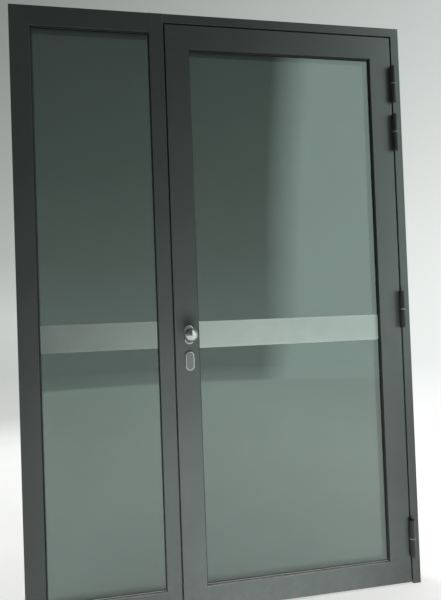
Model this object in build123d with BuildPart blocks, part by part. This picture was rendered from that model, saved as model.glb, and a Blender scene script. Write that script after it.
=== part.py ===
from build123d import *
import os
from dataclasses import dataclass

# Aluminium entrance door set: a glazed leaf hinged on the right and a fixed glazed sidelight on the left.
# X runs along the wall, Y from outdoors into the room, Z up. The origin lies on the floor, at the middle
# of the frame's width and depth. All sizes are in millimetres, at rest with the leaf closed.

os.makedirs("parts", exist_ok=True)

# Frame and leaf, as seen from outdoors
frame_width = 1450.0
frame_height = 2150.0
frame_depth = 75.0
fixed_light_face = 68.0
bottom_rail_face = 87.0
mullion_face = 51.0
door_frame_face = 32.0
leaf_face = 85.0
sidelight_clear_width = 410.0
edge_radius = 1.0

# Gaps round the leaf
edge_gap = 6.0
rebate_gap = 5.0
seal_gap = 5.0
floor_gap = 6.0

# Section of the extruded bars
shell_depth = 25.0
shell_wall = 2.0
grooved_wall = 4.0
glazing_lip = 21.0
lip_depth = 10.0
lip_back_wall = 5.0
stop_width = 21.0
strip_thickness = 2.5
strip_inset = 1.5
strip_seat = 2.0

# Glazing
pane_thickness = 6.0
cavity_width = 16.0
glass_cover = 15.0
edge_seal = 4.0
spacer_height = 7.0
gasket_thickness = 4.0
gasket_cover = 8.5
gasket_nose = 4.0
gasket_foot_inset = 5.0
gasket_foot_width = 3.0
gasket_foot_depth = 3.0
bead_wall = 1.5
bead_clip_height = 1.2
bead_clip_width = 3.0
bead_clip_setback = 7.0
block_length = 80.0
block_corner_distance = 60.0
film_height = 95.0
film_thickness = 0.3
film_edge_margin = 5.0
sidelight_film_bottom = 946.0
leaf_film_bottom = 940.0

# Seals of the leaf
seal_inset = 7.0
seal_width = 8.0
seal_foot_width = 3.0
seal_foot_depth = 2.5
soft_clearance = 0.3
bottom_carrier_depth = 14.0
bottom_carrier_foot = 8.0
bottom_blade_thickness = 4.0
bottom_blade_clearance = 1.0

# Corner cleats and butt connectors inside the bars
cleat_leg_length = 55.0
cleat_fit = 0.2
connector_length = 30.0

# Fixing holes into the wall
fixing_hole_radius = 5.0
fixing_end_distance = 200.0
head_fixing_distance = 150.0

# Barrel hinges, by the place of their middle on the leaf
hinge_top_distance = 185.0
hinge_pair_spacing = 188.0
hinge_middle_height = 1047.0
hinge_bottom_distance = 171.0
hinge_length = 140.0
hinge_barrel_radius = 11.5
hinge_proud = 12.0
hinge_pin_radius = 6.0
hinge_cap_thickness = 8.0
hinge_cap_rounding = 2.0
hinge_ring_thickness = 3.0
hinge_ring_extra = 0.6
hinge_wing_thickness = 3.2
hinge_wing_depth = 23.0
hinge_wing_margin = 5.0
running_clearance = 0.05
axial_play = 0.1

# Lock, by its place on the stile
backset = 30.0
spindle_height = 990.0
cylinder_drop = 94.0
lock_setback = 49.5
faceplate_thickness = 3.0
faceplate_width = 22.0
faceplate_above = 85.0
faceplate_below = 145.0
case_depth = 36.5
case_thickness = 15.0
case_above = 70.0
case_below = 130.0
lock_fit = 0.3
latch_rise = 32.0
latch_height = 30.0
latch_thickness = 12.0
latch_throw = 14.0
latch_tail = 20.0
latch_tip_land = 2.0
latch_bevel_length = 11.0
deadbolt_drop = 55.0
deadbolt_height = 32.0
deadbolt_length = 28.0
deadbolt_throw = 20.0
bolt_fit = 0.3
follower_radius = 7.5
spindle_side = 8.0

# Cylinder and thumb turn, on the room side only
cylinder_radius = 8.5
cylinder_web_width = 10.0
cylinder_total_height = 33.0
cylinder_proud = 6.0
turn_shaft_radius = 4.0
turn_shaft_length = 30.0
turn_gap = 2.0
turn_length = 30.0
turn_thickness = 12.0
turn_depth = 18.0

# Oval roses, ball knob and lever
rose_width = 31.0
rose_height = 68.0
rose_thickness = 8.0
rose_rounding = 2.0
rose_rim = 3.0
rose_recess = 0.8
blind_recess = 1.5
knob_radius = 24.0
knob_projection = 56.0
knob_neck_radius = 9.0
knob_neck_waist = 1.5
knob_stud_radius = 4.0
knob_stud_length = 12.0
lever_radius = 9.5
lever_projection = 52.0
lever_length = 125.0
lever_bend_radius = 16.0
lever_return = 18.0
lever_end_rounding = 3.0
lever_socket_depth = 30.0
fit_clearance = 0.2

# Strike on the mullion
keeper_axis_inset = 5.0
keeper_inner_radius = 7.8
keeper_wall = 3.5
keeper_hub_radius = 2.7
keeper_pin_radius = 2.0
keeper_pin_length = 5.0
keeper_plate_thickness = 3.0
keeper_sector_start = 100.0
keeper_sector_size = 100.0
keeper_clearance = 0.8
latch_clearance = 1.0
exit_clearance = 3.5
strike_case_wall = 1.7
strike_case_end = 8.0
strike_plate_thickness = 2.0
strike_plate_width = 32.5
strike_plate_margin = 28.0

# Places that follow from the sizes above
left = -frame_width / 2
right = frame_width / 2
outer_face = -frame_depth / 2
inner_face = frame_depth / 2
outer_shell_back = outer_face + shell_depth
inner_shell_front = inner_face - shell_depth
lip_back = outer_face + lip_depth
stop_front = outer_shell_back + seal_gap

mullion_left = left + fixed_light_face + sidelight_clear_width
mullion_body_left = mullion_left + glazing_lip
mullion_right = mullion_left + mullion_face
mullion_stop_right = mullion_right + stop_width

leaf_left = mullion_right + edge_gap
leaf_right = right - door_frame_face - edge_gap
leaf_bottom = floor_gap
leaf_top = frame_height - door_frame_face - edge_gap
leaf_lip = stop_width + rebate_gap - edge_gap
leaf_rebate_left = leaf_left + leaf_lip
leaf_rebate_right = leaf_right - leaf_lip

glass_front = lip_back + gasket_thickness
cavity_front = glass_front + pane_thickness
inner_pane_front = cavity_front + cavity_width
glass_back = inner_pane_front + pane_thickness
bead_front = glass_back + gasket_thickness

RIGHT, LEFT, UP, DOWN = (1, 0, 0), (-1, 0, 0), (0, 0, 1), (0, 0, -1)


@dataclass
class BarSection:
    """Section of a bar: u runs from the bar's edge at the wall or gap, v is the row's Y."""

    face: float
    lip_start: bool = False
    lip_end: bool = False
    rebate: float = 0.0
    stop: float = 0.0

    @property
    def body_start(self):
        return glazing_lip if self.lip_start else 0.0

    @property
    def body_end(self):
        return self.face - glazing_lip if self.lip_end else self.face

    @property
    def inner_start(self):
        return self.rebate if self.rebate else self.body_start

    @property
    def inner_end(self):
        return self.body_end + self.stop

    @property
    def strip_starts(self):
        return (self.inner_start + strip_inset, self.body_end - strip_inset - strip_thickness)


fixed_light_section = BarSection(fixed_light_face, lip_end=True)
bottom_rail_section = BarSection(bottom_rail_face, lip_end=True)
mullion_section = BarSection(mullion_face, lip_start=True, stop=stop_width)
door_frame_section = BarSection(door_frame_face, stop=stop_width)
leaf_section = BarSection(leaf_face, lip_end=True, rebate=leaf_lip)


def slab(u0, u1, v0, v1, mode=Mode.ADD):
    """Rectangle between two corners, in the current sketch."""
    with Locations(((u0 + u1) / 2, (v0 + v1) / 2)):
        Rectangle(u1 - u0, v1 - v0, mode=mode)


def block(x0, x1, y0, y1, z0, z1, mode=Mode.ADD):
    """Straight block between two corners, in the current part."""
    with BuildSketch(Plane.XY.offset(z0)) as footprint:
        slab(x0, x1, y0, y1)
    extrude(footprint.sketch, amount=z1 - z0, mode=mode)


def elevation(y):
    """Upright plane at depth y: its sketches read X across and Z up."""
    return Plane.XZ.offset(-y)


def bar_plane(x, z, inward):
    """Plane of a bar's section: u runs inward from the bar's outer edge, v along Y."""
    return Plane(origin=(x, 0, z), x_dir=inward, z_dir=Vector(*inward).cross(Vector(0, 1, 0)))


def outer_shell(section):
    """Outdoor shell: flat face, glazing lips, hollow chambers, grooves for strips, gasket and seal."""
    slab(0, section.face, outer_face, lip_back)
    slab(section.body_start, section.body_end, outer_face, outer_shell_back)
    fillet(vertices().group_by(Axis.Y)[0], edge_radius)
    chamber_front = outer_face + shell_wall
    chamber_back = outer_shell_back - grooved_wall
    slab(
        section.inner_start + shell_wall,
        section.body_end - shell_wall,
        chamber_front,
        chamber_back,
        Mode.SUBTRACT,
    )
    if section.rebate:
        slab(shell_wall, section.rebate, chamber_front, chamber_back, Mode.SUBTRACT)
        seal_groove = seal_inset - seal_foot_width / 2
        slab(
            seal_groove,
            seal_groove + seal_foot_width,
            outer_shell_back - seal_foot_depth,
            outer_shell_back,
            Mode.SUBTRACT,
        )
    lip_chamber_back = lip_back - lip_back_wall
    foot_half = gasket_foot_width / 2
    gasket_seat = lip_back - gasket_foot_depth
    if section.lip_end:
        slab(section.body_end, section.face - shell_wall, chamber_front, lip_chamber_back, Mode.SUBTRACT)
        foot = section.face - gasket_foot_inset
        slab(foot - foot_half, foot + foot_half, gasket_seat, lip_back, Mode.SUBTRACT)
    if section.lip_start:
        slab(shell_wall, section.body_start, chamber_front, lip_chamber_back, Mode.SUBTRACT)
        foot = gasket_foot_inset
        slab(foot - foot_half, foot + foot_half, gasket_seat, lip_back, Mode.SUBTRACT)
    for start in section.strip_starts:
        slab(
            start,
            start + strip_thickness,
            outer_shell_back - strip_seat,
            outer_shell_back,
            Mode.SUBTRACT,
        )


def inner_shell(section):
    """Room-side shell: flat face, the stop behind the leaf, chambers, grooves for strips and beads."""
    slab(section.inner_start, section.inner_end, inner_shell_front, inner_face)
    if section.stop:
        slab(section.body_end, section.inner_end, stop_front, inner_face)
    fillet(vertices().group_by(Axis.Y)[-1], edge_radius)
    chamber_back = inner_face - shell_wall
    slab(
        section.inner_start + shell_wall,
        section.inner_end - shell_wall,
        inner_shell_front + grooved_wall,
        chamber_back,
        Mode.SUBTRACT,
    )
    if section.stop:
        slab(
            section.body_end + shell_wall,
            section.inner_end - shell_wall,
            stop_front + grooved_wall,
            chamber_back,
            Mode.SUBTRACT,
        )
    clip_back = inner_face - bead_clip_setback
    clip_front = clip_back - bead_clip_width
    if section.lip_end:
        slab(section.body_end - bead_clip_height, section.body_end, clip_front, clip_back, Mode.SUBTRACT)
    if section.lip_start:
        slab(section.body_start, section.body_start + bead_clip_height, clip_front, clip_back, Mode.SUBTRACT)
    for start in section.strip_starts:
        slab(
            start,
            start + strip_thickness,
            inner_shell_front,
            inner_shell_front + strip_seat,
            Mode.SUBTRACT,
        )


def mitre(plane, length, at_start):
    """Plane that mitres a bar: what lies on its positive side is kept."""
    along = plane.z_dir if at_start else -plane.z_dir
    origin = plane.origin if at_start else plane.origin + plane.z_dir * length
    return Plane(origin=origin, z_dir=along - plane.x_dir)


def make_bar(section, plane, outer_span, inner_span, mitre_start=False, mitre_end=False):
    """Both shells of one bar, cut from where to where along it, with mitred ends where asked."""
    with BuildPart() as bar:
        with BuildSketch(plane.offset(outer_span[0])):
            outer_shell(section)
        extrude(amount=outer_span[1] - outer_span[0])
        with BuildSketch(plane.offset(inner_span[0])):
            inner_shell(section)
        extrude(amount=inner_span[1] - inner_span[0])
        if mitre_start:
            split(bisect_by=mitre(plane, 0, True))
        if mitre_end:
            split(bisect_by=mitre(plane, outer_span[1], False))
    return bar.part


def make_strips(section, plane, span, mitre_start=False, mitre_end=False):
    """The two insulating strips of one bar."""
    with BuildPart() as strips:
        with BuildSketch(plane.offset(span[0])):
            for start in section.strip_starts:
                slab(
                    start,
                    start + strip_thickness,
                    outer_shell_back - strip_seat,
                    inner_shell_front + strip_seat,
                )
        extrude(amount=span[1] - span[0])
        if mitre_start:
            split(bisect_by=mitre(plane, 0, True))
        if mitre_end:
            split(bisect_by=mitre(plane, span[1], False))
    return strips.part


def group(parts):
    """Separate solids kept side by side in one node."""
    return Compound([solid for part in parts for solid in part.solids()])


def save(shape, name):
    """Label a finished piece and write it under its own name."""
    shape.label = name
    export_step(shape, f"parts/{name}.step")


# Frame bars
jamb_plane = bar_plane(left, 0, RIGHT)
sidelight_head_plane = bar_plane(left, frame_height, DOWN)
mullion_plane = bar_plane(mullion_left, 0, RIGHT)
door_head_plane = sidelight_head_plane
right_jamb_plane = bar_plane(right, frame_height, LEFT)
bottom_rail_plane = bar_plane(mullion_body_left, 0, UP)

full_height = (0, frame_height)
head_outer_span = (0, mullion_left - left)
head_inner_span = (0, mullion_body_left - left)
door_head_outer_span = (mullion_right - left, frame_width)
door_head_inner_span = (mullion_stop_right - left, frame_width)
bottom_inner_span = (0, mullion_body_left - left - fixed_light_section.body_end)
bottom_outer_span = (glazing_lip, mullion_body_left - left - fixed_light_face)

fixing_y = (inner_shell_front + grooved_wall + inner_face - shell_wall) / 2
fixing_step = (frame_height - 2 * fixing_end_distance) / 3
fixing_heights = [fixing_end_distance + i * fixing_step for i in range(4)]


def drill_jamb(x_start, length):
    """Row of holes through a jamb's inner shell, for the screws into the wall."""
    with BuildSketch(Plane.YZ.offset(x_start)) as holes:
        with Locations([(fixing_y, z) for z in fixing_heights]):
            Circle(fixing_hole_radius)
    extrude(holes.sketch, amount=length, mode=Mode.SUBTRACT)


def drill_head(x_positions, length):
    """Holes up through a head's inner shell, for the screws into the lintel."""
    with BuildSketch(Plane.XY.offset(frame_height - length)) as holes:
        with Locations([(x, fixing_y) for x in x_positions]):
            Circle(fixing_hole_radius)
    extrude(holes.sketch, amount=length, mode=Mode.SUBTRACT)


with BuildPart() as left_jamb:
    add(make_bar(fixed_light_section, jamb_plane, full_height, full_height, mitre_end=True))
    drill_jamb(left, fixed_light_section.body_end)
save(left_jamb.part, "left_jamb")

with BuildPart() as sidelight_head:
    add(
        make_bar(
            fixed_light_section,
            sidelight_head_plane,
            head_outer_span,
            head_inner_span,
            mitre_start=True,
        )
    )
    drill_head(
        (left + head_fixing_distance, mullion_left - head_fixing_distance),
        fixed_light_section.body_end,
    )
save(sidelight_head.part, "sidelight_head")

with BuildPart() as door_head:
    add(
        make_bar(
            door_frame_section,
            door_head_plane,
            door_head_outer_span,
            door_head_inner_span,
            mitre_end=True,
        )
    )
    drill_head(
        (mullion_right + head_fixing_distance, right - head_fixing_distance),
        door_frame_section.inner_end,
    )
save(door_head.part, "door_head")

with BuildPart() as right_jamb:
    add(make_bar(door_frame_section, right_jamb_plane, full_height, full_height, mitre_start=True))
    drill_jamb(right - door_frame_section.inner_end, door_frame_section.inner_end)
save(right_jamb.part, "right_jamb")

with BuildPart() as sidelight_bottom_rail:
    add(make_bar(bottom_rail_section, bottom_rail_plane, bottom_outer_span, bottom_inner_span))
save(sidelight_bottom_rail.part, "sidelight_bottom_rail")

# Places of the lock, its bolts and the strike
lock_x = leaf_rebate_left + backset
lock_y = outer_face + lock_setback
cylinder_height = spindle_height - cylinder_drop
latch_z = spindle_height + latch_rise
deadbolt_z = spindle_height - deadbolt_drop
faceplate_bottom = spindle_height - faceplate_below
faceplate_top = spindle_height + faceplate_above
case_front = leaf_rebate_left + faceplate_thickness
case_back = case_front + case_depth
case_bottom = spindle_height - case_below
case_top = spindle_height + case_above

keeper_x = mullion_stop_right - keeper_axis_inset
keeper_outer_radius = keeper_inner_radius + keeper_wall
keeper_half_opening = latch_height / 2 + latch_clearance
keeper_half_height = keeper_half_opening + keeper_plate_thickness
cavity_radius = keeper_outer_radius + keeper_clearance
cavity_half_height = keeper_half_height + keeper_clearance
strike_case_left = keeper_x - cavity_radius - strike_case_wall
strike_case_right = mullion_stop_right - strike_plate_thickness
strike_case_front = stop_front + grooved_wall
strike_case_back = lock_y + cavity_radius + strike_case_wall
strike_case_half = cavity_half_height + strike_case_end
strike_plate_bottom = deadbolt_z - deadbolt_height / 2 - strike_plate_margin
strike_plate_top = latch_z + strike_case_half + strike_plate_margin
latch_tip = leaf_rebate_left - latch_throw
exit_left = latch_tip - exit_clearance
exit_half_height = keeper_half_opening

# Mullion, cut open on the leaf's side for the strike
with BuildPart() as mullion:
    add(make_bar(mullion_section, mullion_plane, full_height, full_height))
    block(
        strike_case_right,
        mullion_stop_right,
        stop_front,
        stop_front + strike_plate_width,
        strike_plate_bottom,
        strike_plate_top,
        Mode.SUBTRACT,
    )
    block(
        exit_left,
        mullion_stop_right,
        stop_front,
        strike_case_front,
        latch_z - exit_half_height,
        latch_z + exit_half_height,
        Mode.SUBTRACT,
    )
save(mullion.part, "mullion")

# Insulating strips of the frame
frame_thermal_strips = group(
    [
        make_strips(fixed_light_section, jamb_plane, full_height, mitre_end=True),
        make_strips(fixed_light_section, sidelight_head_plane, head_inner_span, mitre_start=True),
        make_strips(door_frame_section, door_head_plane, door_head_inner_span, mitre_end=True),
        make_strips(door_frame_section, right_jamb_plane, full_height, mitre_start=True),
        make_strips(mullion_section, mullion_plane, full_height),
        make_strips(bottom_rail_section, bottom_rail_plane, bottom_inner_span),
    ]
)
save(frame_thermal_strips, "frame_thermal_strips")


# Joints inside the bars
def chamber(section, shell):
    """Clear room inside a bar's shell, less the fit of what slides in: u and v ranges."""
    u0 = section.inner_start + shell_wall + cleat_fit
    if shell == "outer":
        u1 = section.body_end - shell_wall - cleat_fit
        v0 = outer_face + shell_wall + cleat_fit
        v1 = outer_shell_back - grooved_wall - cleat_fit
    else:
        u1 = section.inner_end - shell_wall - cleat_fit
        v0 = inner_shell_front + grooved_wall + cleat_fit
        v1 = inner_face - shell_wall - cleat_fit
    return u0, u1, v0, v1


def corner_cleat(section, shell, corner, x_sign, z_sign):
    """L-shaped cleat that joins two mitred bars; corner is the frame's outer corner."""
    u0, u1, v0, v1 = chamber(section, shell)
    x, z = corner
    reach = u1 + cleat_leg_length
    with BuildPart() as cleat:
        with BuildSketch(elevation(v0)):
            for du, dv in ((reach, u1), (u1, reach)):
                xs = sorted((x + x_sign * u0, x + x_sign * du))
                zs = sorted((z + z_sign * u0, z + z_sign * dv))
                slab(*xs, *zs)
        extrude(amount=v0 - v1)
    return cleat.part


def connector(section, shell, plane, start):
    """Block that plugs into the end of a rail and meets the upright it is screwed to."""
    u0, u1, v0, v1 = chamber(section, shell)
    with BuildPart() as plug:
        with BuildSketch(plane.offset(start)):
            slab(u0, u1, v0, v1)
        extrude(amount=connector_length)
    return plug.part


frame_corner_cleats = group(
    [
        corner_cleat(section, shell, corner, x_sign, -1)
        for section, corner, x_sign in (
            (fixed_light_section, (left, frame_height), 1),
            (door_frame_section, (right, frame_height), -1),
        )
        for shell in ("outer", "inner")
    ]
)
save(frame_corner_cleats, "frame_corner_cleats")

frame_connectors = group(
    [
        connector(fixed_light_section, "outer", sidelight_head_plane, head_outer_span[1] - connector_length),
        connector(fixed_light_section, "inner", sidelight_head_plane, head_inner_span[1] - connector_length),
        connector(door_frame_section, "outer", door_head_plane, door_head_outer_span[0]),
        connector(door_frame_section, "inner", door_head_plane, door_head_inner_span[0]),
        connector(bottom_rail_section, "outer", bottom_rail_plane, bottom_outer_span[0]),
        connector(bottom_rail_section, "inner", bottom_rail_plane, bottom_inner_span[0]),
        connector(
            bottom_rail_section, "outer", bottom_rail_plane, bottom_outer_span[1] - connector_length
        ),
        connector(
            bottom_rail_section, "inner", bottom_rail_plane, bottom_inner_span[1] - connector_length
        ),
    ]
)
save(frame_connectors, "frame_connectors")

# Leaf bars
leaf_width = leaf_right - leaf_left
leaf_height = leaf_top - leaf_bottom
lock_stile_plane = bar_plane(leaf_left, leaf_bottom, RIGHT)
top_rail_plane = bar_plane(leaf_left, leaf_top, DOWN)
hinge_stile_plane = bar_plane(leaf_right, leaf_top, LEFT)
leaf_bottom_plane = bar_plane(leaf_right, leaf_bottom, UP)
stile_span = (0, leaf_height)
rail_span = (0, leaf_width)


def lock_pocket():
    """Room for the lock's faceplate and case in the lock stile."""
    block(
        leaf_rebate_left,
        case_front,
        lock_y - faceplate_width / 2,
        lock_y + faceplate_width / 2,
        faceplate_bottom,
        faceplate_top,
        Mode.SUBTRACT,
    )
    block(
        leaf_rebate_left,
        case_back + lock_fit,
        lock_y - case_thickness / 2 - lock_fit,
        lock_y + case_thickness / 2 + lock_fit,
        case_bottom - lock_fit,
        case_top + lock_fit,
        Mode.SUBTRACT,
    )


def cylinder_outline(clearance):
    """Keyhole-shaped outline of the lock cylinder, grown by a clearance."""
    radius = cylinder_radius + clearance
    web_bottom = cylinder_height + cylinder_radius - cylinder_total_height
    web_half = cylinder_web_width / 2 + clearance
    with Locations((lock_x, cylinder_height)):
        Circle(radius)
    slab(lock_x - web_half, lock_x + web_half, web_bottom - clearance, cylinder_height)


with BuildPart() as leaf_lock_stile:
    add(make_bar(leaf_section, lock_stile_plane, stile_span, stile_span, True, True))
    lock_pocket()
    with BuildSketch(elevation(inner_face - shell_wall)):
        with Locations((lock_x, spindle_height)):
            Circle(lever_radius + fit_clearance)
        cylinder_outline(fit_clearance)
    extrude(amount=-shell_wall, mode=Mode.SUBTRACT)
    with BuildSketch(elevation(outer_face)):
        with Locations((lock_x, spindle_height)):
            Circle(knob_stud_radius)
    extrude(amount=-shell_wall, mode=Mode.SUBTRACT)
save(leaf_lock_stile.part, "leaf_lock_stile")

leaf_hinge_stile = make_bar(leaf_section, hinge_stile_plane, stile_span, stile_span, True, True)
save(leaf_hinge_stile, "leaf_hinge_stile")

leaf_top_rail = make_bar(leaf_section, top_rail_plane, rail_span, rail_span, True, True)
save(leaf_top_rail, "leaf_top_rail")

leaf_bottom_rail = make_bar(leaf_section, leaf_bottom_plane, rail_span, rail_span, True, True)
save(leaf_bottom_rail, "leaf_bottom_rail")

with BuildPart() as lock_stile_strips:
    add(make_strips(leaf_section, lock_stile_plane, stile_span, True, True))
    lock_pocket()

leaf_thermal_strips = group(
    [
        lock_stile_strips.part,
        make_strips(leaf_section, top_rail_plane, rail_span, True, True),
        make_strips(leaf_section, hinge_stile_plane, stile_span, True, True),
        make_strips(leaf_section, leaf_bottom_plane, rail_span, True, True),
    ]
)
save(leaf_thermal_strips, "leaf_thermal_strips")

leaf_corner_cleats = group(
    [
        corner_cleat(leaf_section, shell, corner, x_sign, z_sign)
        for corner, x_sign, z_sign in (
            ((leaf_left, leaf_bottom), 1, 1),
            ((leaf_right, leaf_bottom), -1, 1),
            ((leaf_left, leaf_top), 1, -1),
            ((leaf_right, leaf_top), -1, -1),
        )
        for shell in ("outer", "inner")
    ]
)
save(leaf_corner_cleats, "leaf_corner_cleats")


# Glazing of one light: clear is its visible opening as x0, x1, z0, z1
def grow(rect, margin):
    """The same rectangle, larger by a margin on every side."""
    x0, x1, z0, z1 = rect
    return x0 - margin, x1 + margin, z0 - margin, z1 + margin


def sheet(rect, y0, y1):
    """Flat sheet that fills a rectangle of the elevation between two depths."""
    with BuildPart() as plate:
        with BuildSketch(elevation(y0)):
            slab(*rect)
        extrude(amount=y0 - y1)
    return plate.part


def ring(outside, inside, y0, y1):
    """Rectangular ring of the elevation, added to the current part between two depths."""
    with BuildSketch(elevation(y0)) as band:
        slab(*outside)
        slab(*inside, Mode.SUBTRACT)
    extrude(band.sketch, amount=y0 - y1)


def outer_gasket(clear):
    """Gasket between the lips and the outer pane; its feet in the lips' grooves stop at the corners."""
    x0, x1, z0, z1 = clear
    foot_out = gasket_foot_inset + gasket_foot_width / 2
    with BuildPart() as gasket:
        ring(
            grow(clear, gasket_cover),
            grow(clear, -gasket_nose),
            lip_back,
            glass_front,
        )
        with BuildSketch(elevation(lip_back - gasket_foot_depth)):
            slab(x0, x1, z0 - foot_out, z1 + foot_out)
            slab(x0 - foot_out, x1 + foot_out, z0, z1)
            slab(*grow(clear, foot_out - gasket_foot_width), Mode.SUBTRACT)
        extrude(amount=-gasket_foot_depth)
    return gasket.part


def inner_gasket(clear):
    """Gasket between the inner pane and the beads."""
    with BuildPart() as gasket:
        ring(
            grow(clear, gasket_cover),
            grow(clear, -gasket_nose),
            glass_back,
            bead_front,
        )
    return gasket.part


def spacer(clear):
    """Hollow bar that holds the two panes apart, set in from the glass edge."""
    inside = grow(clear, glass_cover - edge_seal - spacer_height)
    with BuildPart() as bar:
        ring(grow(clear, glass_cover - edge_seal), inside, cavity_front, inner_pane_front)
    return bar.part


def bead(plane, start, end):
    """Hollow clip-in glazing bead with its clip along the rebate's floor."""
    clip_back = inner_face - bead_clip_setback
    with BuildPart() as bar:
        with BuildSketch(plane.offset(start)):
            slab(0, glazing_lip, bead_front, inner_face)
            fillet(vertices().group_by(Axis.Y)[-1].sort_by(Axis.X)[-1], edge_radius)
            slab(-bead_clip_height, 0, clip_back - bead_clip_width, clip_back)
            slab(
                bead_wall,
                glazing_lip - bead_wall,
                bead_front + bead_wall,
                inner_face - bead_wall,
                Mode.SUBTRACT,
            )
        extrude(amount=end - start)
    return bar.part


def beads(clear):
    """Four beads: those above and below run through, those at the sides stand between them."""
    x0, x1, z0, z1 = grow(clear, glazing_lip)
    wide = x1 - x0
    tall = z1 - z0
    return group(
        [
            bead(bar_plane(x1, z0, UP), 0, wide),
            bead(bar_plane(x0, z1, DOWN), 0, wide),
            bead(bar_plane(x0, z0, RIGHT), glazing_lip, tall - glazing_lip),
            bead(bar_plane(x1, z1, LEFT), glazing_lip, tall - glazing_lip),
        ]
    )


def setting_blocks(clear):
    """Pads between the glass edge and the rebate, two on each side."""
    seat = grow(clear, glazing_lip)
    edge = grow(clear, glass_cover)
    with BuildPart() as pads:
        with BuildSketch(elevation(glass_front)):
            for x in (edge[0] + block_corner_distance, edge[1] - block_corner_distance - block_length):
                slab(x, x + block_length, seat[2], edge[2])
                slab(x, x + block_length, edge[3], seat[3])
            for z in (edge[2] + block_corner_distance, edge[3] - block_corner_distance - block_length):
                slab(seat[0], edge[0], z, z + block_length)
                slab(edge[1], seat[1], z, z + block_length)
        extrude(amount=glass_front - bead_front)
    return pads.part


sidelight_clear = (
    left + fixed_light_face,
    mullion_left,
    bottom_rail_face,
    frame_height - fixed_light_face,
)
leaf_clear = (
    leaf_left + leaf_face,
    leaf_right - leaf_face,
    leaf_bottom + leaf_face,
    leaf_top - leaf_face,
)

for light, clear, film_bottom in (
    ("sidelight", sidelight_clear, sidelight_film_bottom),
    ("leaf", leaf_clear, leaf_film_bottom),
):
    glass = grow(clear, glass_cover)
    save(sheet(glass, glass_front, cavity_front), f"{light}_outer_pane")
    save(sheet(glass, inner_pane_front, glass_back), f"{light}_inner_pane")
    save(spacer(clear), f"{light}_spacer")
    save(outer_gasket(clear), f"{light}_outer_gasket")
    save(inner_gasket(clear), f"{light}_inner_gasket")
    save(beads(clear), f"{light}_beads")
    save(setting_blocks(clear), f"{light}_setting_blocks")
    film = (
        clear[0] + film_edge_margin,
        clear[1] - film_edge_margin,
        film_bottom,
        film_bottom + film_height,
    )
    save(sheet(film, glass_front - film_thickness, glass_front), f"{light}_film")

# Rebate seal round the leaf's sides and top, its foot in the lips' groove
leaf_outline = (leaf_left, leaf_right, leaf_bottom, leaf_top)
rebate_floor_z = leaf_bottom + leaf_lip


def seal_run(width, y0, y1):
    """Band along the sides and the top of the leaf's lip, centred on the seal's line."""
    with BuildSketch(elevation(y0)) as band:
        slab(*grow(leaf_outline, width / 2 - seal_inset))
        slab(*grow(leaf_outline, -width / 2 - seal_inset), Mode.SUBTRACT)
        slab(leaf_left, leaf_right, leaf_bottom, rebate_floor_z, Mode.SUBTRACT)
    extrude(band.sketch, amount=y0 - y1)


with BuildPart() as rebate_seal:
    seal_run(seal_width, outer_shell_back, stop_front - soft_clearance)
    seal_run(seal_foot_width, outer_shell_back - seal_foot_depth, outer_shell_back)
save(rebate_seal.part, "rebate_seal")

# Bottom seal: a carrier in the corner of the bottom rebate with a blade down to the floor
blade_front = outer_shell_back + (bottom_carrier_depth - bottom_blade_thickness) / 2
with BuildPart() as bottom_seal:
    with BuildSketch(Plane.YZ.offset(leaf_rebate_left)):
        slab(outer_shell_back, outer_shell_back + bottom_carrier_depth, bottom_carrier_foot, rebate_floor_z)
        slab(blade_front, blade_front + bottom_blade_thickness, bottom_blade_clearance, bottom_carrier_foot)
    extrude(amount=leaf_rebate_right - leaf_rebate_left)
save(bottom_seal.part, "bottom_seal")

# Barrel hinges in the gap on the right
hinge_heights = (
    leaf_top - hinge_top_distance,
    leaf_top - hinge_top_distance - hinge_pair_spacing,
    leaf_bottom + hinge_middle_height,
    leaf_bottom + hinge_bottom_distance,
)
hinge_x = leaf_right + edge_gap / 2
hinge_y = outer_face - hinge_proud
knuckle_length = (hinge_length - hinge_ring_thickness - axial_play) / 2
wing_back = outer_face + hinge_wing_depth


def barrel(bottom, top, radius, mode=Mode.ADD):
    """Upright cylinder on the hinge axis, in the current part."""
    with BuildSketch(Plane.XY.offset(bottom)) as outline:
        with Locations((hinge_x, hinge_y)):
            Circle(radius)
    extrude(outline.sketch, amount=top - bottom, mode=mode)


def knuckle(bottom, top, wing_x0, wing_x1, capped_top):
    """Half of a hinge: a blind barrel with a rounded cap, and the wing that goes into the gap."""
    with BuildPart() as half:
        barrel(bottom, top, hinge_barrel_radius)
        cap_edge = edges().sort_by(Axis.Z)[-1] if capped_top else edges().sort_by(Axis.Z)[0]
        fillet(cap_edge, hinge_cap_rounding)
        block(wing_x0, wing_x1, hinge_y, wing_back, bottom + hinge_wing_margin, top - hinge_wing_margin)
        if capped_top:
            bore = hinge_pin_radius + running_clearance
            barrel(bottom, top - hinge_cap_thickness, bore, Mode.SUBTRACT)
        else:
            barrel(bottom + hinge_cap_thickness, top, hinge_pin_radius, Mode.SUBTRACT)
    return half.part


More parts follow.
